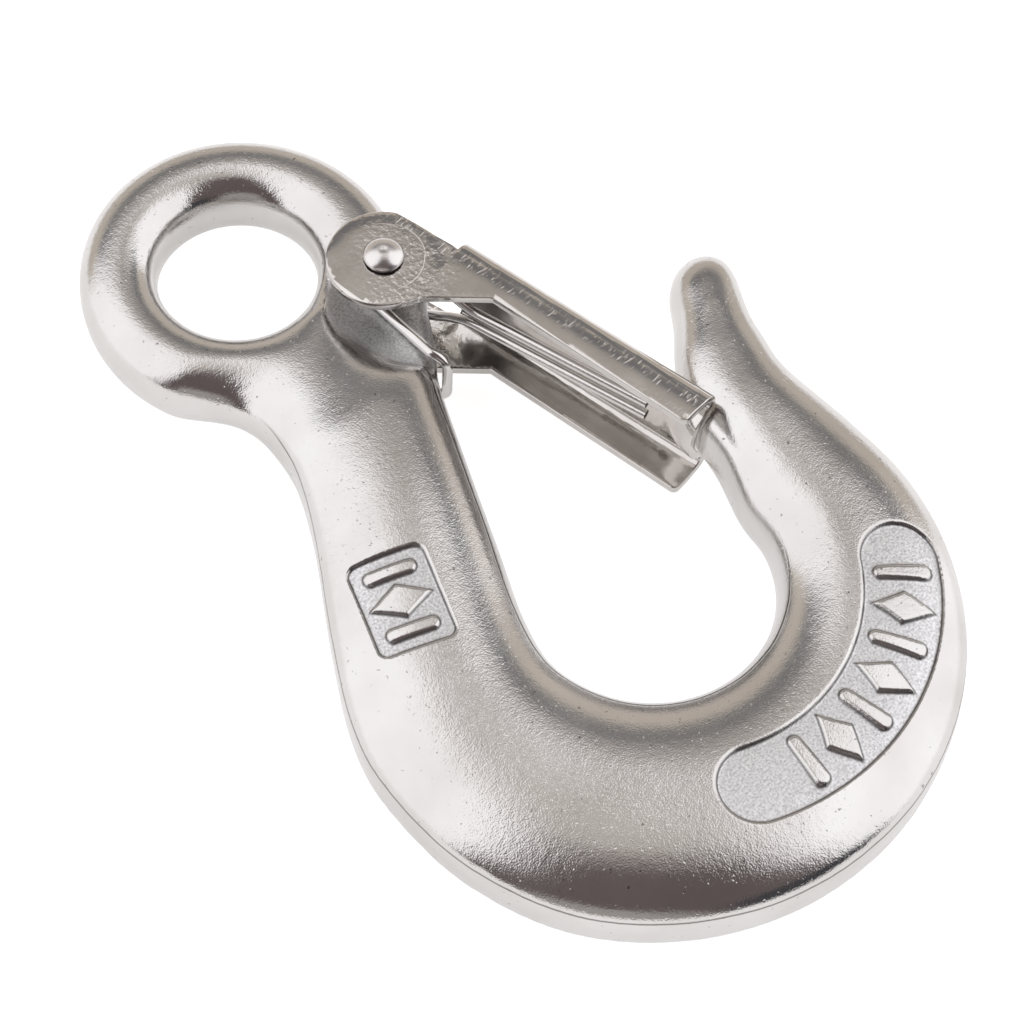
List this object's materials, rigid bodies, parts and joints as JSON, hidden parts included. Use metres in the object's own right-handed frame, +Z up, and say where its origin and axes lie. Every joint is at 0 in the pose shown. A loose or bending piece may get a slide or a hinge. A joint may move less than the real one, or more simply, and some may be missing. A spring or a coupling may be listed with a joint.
{
  "type": "eye hook with latch",
  "caption": "Lifting hook with a round eye, a deep bowl and a sprung swing latch that closes the mouth against the tip.",
  "frame": {"origin": "centre of the bounding box on the ground, with the hook lying flat", "axes": "+Y runs along the load line from bowl to eye, +X points to the hook's tip, +Z is up, through the hook's thickness"},
  "size_m": [0.0704, 0.106, 0.0172],
  "materials": {
    "hook_body": "polished cast stainless steel with a fine grain",
    "latch": "bright stamped stainless sheet",
    "latch_rivet": "bright stainless rivet",
    "latch_spring": "bright stainless spring wire"
  },
  "bodies": {
    "hook": {"hook_body": "hook_body", "latch_spring": "latch_spring"},
    "latch": {"latch": "latch", "latch_rivet": "latch_rivet"}
  },
  "joints": [
    {"name": "latch_pivot", "type": "hinge", "parent": "hook", "child": "latch", "pos_m": [0.00902, 0.02374, 0.0086], "axis": [0, 0, 1], "range_deg": [-36, 0], "stiffness_Nm_per_rad": 0.11, "springref_deg": 25.78, "deforming": ["latch_spring"]}
  ]
}
